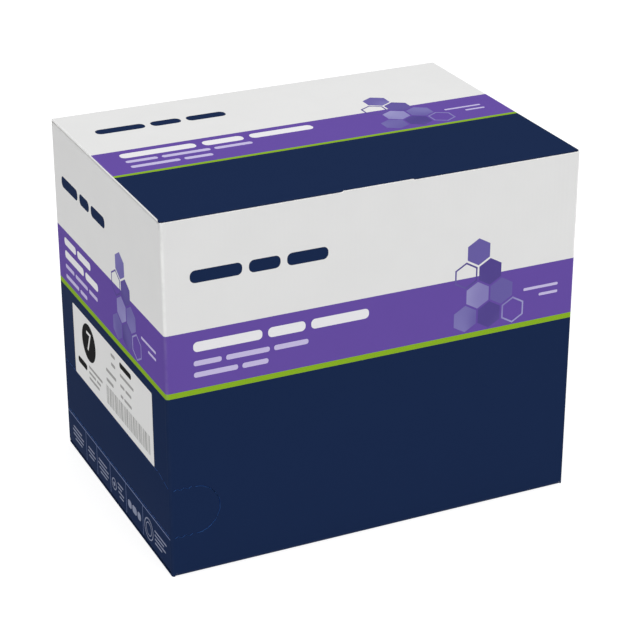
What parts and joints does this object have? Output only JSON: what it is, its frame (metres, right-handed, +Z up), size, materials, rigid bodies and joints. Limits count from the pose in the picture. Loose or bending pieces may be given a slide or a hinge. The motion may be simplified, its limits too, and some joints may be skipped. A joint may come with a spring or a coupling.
{
  "type": "exam glove carton",
  "caption": "Closed E-flute carton for exam gloves, with a hinged tuck-in lid, dust flaps, sealed bottom and a perforated tear-out with a finger tab.",
  "frame": {"origin": "on the floor, under the middle of the carton", "axes": "+X runs right along the front wall, +Y from the front to the back, +Z up"},
  "size_m": [0.295, 0.208, 0.25],
  "materials": {
    "printed_board": "white E-flute board, litho printed, satin varnish",
    "lid_board": "white E-flute board, litho printed, satin varnish",
    "plain_board": "white E-flute board, unprinted, matte"
  },
  "bodies": {
    "carton": {"sleeve": "printed_board", "bottom_flap_left": "plain_board", "bottom_flap_right": "plain_board", "bottom_flap_front": "printed_board", "bottom_flap_back": "printed_board"},
    "lid": {"lid": "lid_board"},
    "tuck_flap": {"tuck_flap": "plain_board"},
    "dust_flap_left": {"dust_flap_left": "plain_board"},
    "dust_flap_right": {"dust_flap_right": "plain_board"}
  },
  "joints": [
    {"name": "lid_crease", "type": "hinge", "parent": "carton", "child": "lid", "pos_m": [0, 0.10341, 0.24941], "axis": [-1, 0, 0], "range_deg": [0, 150]},
    {"name": "tuck_crease", "type": "hinge", "parent": "lid", "child": "tuck_flap", "pos_m": [0, -0.10151, 0.24931], "axis": [-1, 0, 0], "range_deg": [0, 45]},
    {"name": "dust_crease_left", "type": "hinge", "parent": "carton", "child": "dust_flap_left", "pos_m": [-0.14691, 0, 0.24761], "axis": [0, -1, 0], "range_deg": [0, 105]},
    {"name": "dust_crease_right", "type": "hinge", "parent": "carton", "child": "dust_flap_right", "pos_m": [0.14691, 0, 0.24761], "axis": [0, 1, 0], "range_deg": [0, 105]}
  ],
  "couplings": [
    {"joint": "tuck_crease", "follows": "lid_crease", "ratio": 0.3},
    {"joint": "dust_crease_left", "follows": "lid_crease", "ratio": 0.7},
    {"joint": "dust_crease_right", "follows": "lid_crease", "ratio": 0.7}
  ]
}
